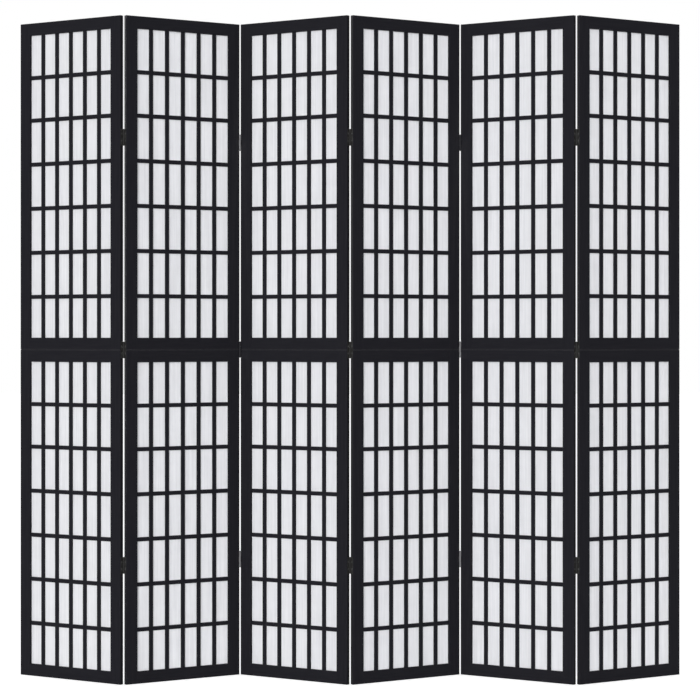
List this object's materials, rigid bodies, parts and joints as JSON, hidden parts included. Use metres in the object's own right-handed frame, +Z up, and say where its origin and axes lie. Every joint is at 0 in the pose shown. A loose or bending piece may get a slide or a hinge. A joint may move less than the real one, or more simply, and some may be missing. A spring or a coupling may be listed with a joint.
{
  "type": "folding screen",
  "caption": "Free-standing shoji folding screen: hinged panels of black wooden lattice backed with white fabric, to divide a room.",
  "frame": {"origin": "on the floor, under the middle of the space that the standing screen takes", "axes": "+X to the right along the row of panels as seen from the front, +Y to the back, +Z up"},
  "size_m": [1.8248, 0.1984, 1.8],
  "materials": {
    "black_lacquered_wood": "black satin lacquer",
    "screen_fabric": "matt white non-woven cloth",
    "hinge_metal": "dark bronze"
  },
  "bodies": {
    "panel_1": {"panel_1_lower_frame": "black_lacquered_wood", "panel_1_upper_frame": "black_lacquered_wood", "panel_1_lower_fabric": "screen_fabric", "panel_1_upper_fabric": "screen_fabric", "hinge_1_2_bottom_pinned_leaf": "hinge_metal", "hinge_1_2_middle_pinned_leaf": "hinge_metal", "hinge_1_2_top_pinned_leaf": "hinge_metal"},
    "panel_2": {"panel_2_lower_frame": "black_lacquered_wood", "panel_2_upper_frame": "black_lacquered_wood", "panel_2_lower_fabric": "screen_fabric", "panel_2_upper_fabric": "screen_fabric", "hinge_1_2_bottom_bored_leaf": "hinge_metal", "hinge_1_2_middle_bored_leaf": "hinge_metal", "hinge_1_2_top_bored_leaf": "hinge_metal", "hinge_2_3_bottom_pinned_leaf": "hinge_metal", "hinge_2_3_middle_pinned_leaf": "hinge_metal", "hinge_2_3_top_pinned_leaf": "hinge_metal"},
    "panel_3": {"panel_3_lower_frame": "black_lacquered_wood", "panel_3_upper_frame": "black_lacquered_wood", "panel_3_lower_fabric": "screen_fabric", "panel_3_upper_fabric": "screen_fabric", "hinge_2_3_bottom_bored_leaf": "hinge_metal", "hinge_2_3_middle_bored_leaf": "hinge_metal", "hinge_2_3_top_bored_leaf": "hinge_metal", "hinge_3_4_bottom_pinned_leaf": "hinge_metal", "hinge_3_4_middle_pinned_leaf": "hinge_metal", "hinge_3_4_top_pinned_leaf": "hinge_metal"},
    "panel_4": {"panel_4_lower_frame": "black_lacquered_wood", "panel_4_upper_frame": "black_lacquered_wood", "panel_4_lower_fabric": "screen_fabric", "panel_4_upper_fabric": "screen_fabric", "hinge_3_4_bottom_bored_leaf": "hinge_metal", "hinge_3_4_middle_bored_leaf": "hinge_metal", "hinge_3_4_top_bored_leaf": "hinge_metal", "hinge_4_5_bottom_pinned_leaf": "hinge_metal", "hinge_4_5_middle_pinned_leaf": "hinge_metal", "hinge_4_5_top_pinned_leaf": "hinge_metal"},
    "panel_5": {"panel_5_lower_frame": "black_lacquered_wood", "panel_5_upper_frame": "black_lacquered_wood", "panel_5_lower_fabric": "screen_fabric", "panel_5_upper_fabric": "screen_fabric", "hinge_4_5_bottom_bored_leaf": "hinge_metal", "hinge_4_5_middle_bored_leaf": "hinge_metal", "hinge_4_5_top_bored_leaf": "hinge_metal", "hinge_5_6_bottom_pinned_leaf": "hinge_metal", "hinge_5_6_middle_pinned_leaf": "hinge_metal", "hinge_5_6_top_pinned_leaf": "hinge_metal"},
    "panel_6": {"panel_6_lower_frame": "black_lacquered_wood", "panel_6_upper_frame": "black_lacquered_wood", "panel_6_lower_fabric": "screen_fabric", "panel_6_upper_fabric": "screen_fabric", "hinge_5_6_bottom_bored_leaf": "hinge_metal", "hinge_5_6_middle_bored_leaf": "hinge_metal", "hinge_5_6_top_bored_leaf": "hinge_metal"}
  },
  "joints": [
    {"name": "fold_3_4", "type": "hinge", "parent": "panel_3", "child": "panel_4", "pos_m": [0, -0.08715, 0.9], "axis": [0, 0, 1], "range_deg": [-65.1, 114.9]},
    {"name": "fold_4_5", "type": "hinge", "parent": "panel_4", "child": "panel_5", "pos_m": [0.30467, 0.08715, 0.9], "axis": [0, 0, -1], "range_deg": [-65.1, 114.9]},
    {"name": "fold_5_6", "type": "hinge", "parent": "panel_5", "child": "panel_6", "pos_m": [0.60935, -0.08715, 0.9], "axis": [0, 0, 1], "range_deg": [-65.1, 114.9]},
    {"name": "fold_2_3", "type": "hinge", "parent": "panel_3", "child": "panel_2", "pos_m": [-0.30467, 0.08715, 0.9], "axis": [0, 0, 1], "range_deg": [-65.1, 114.9]},
    {"name": "fold_1_2", "type": "hinge", "parent": "panel_2", "child": "panel_1", "pos_m": [-0.60935, -0.08715, 0.9], "axis": [0, 0, -1], "range_deg": [-65.1, 114.9]}
  ]
}
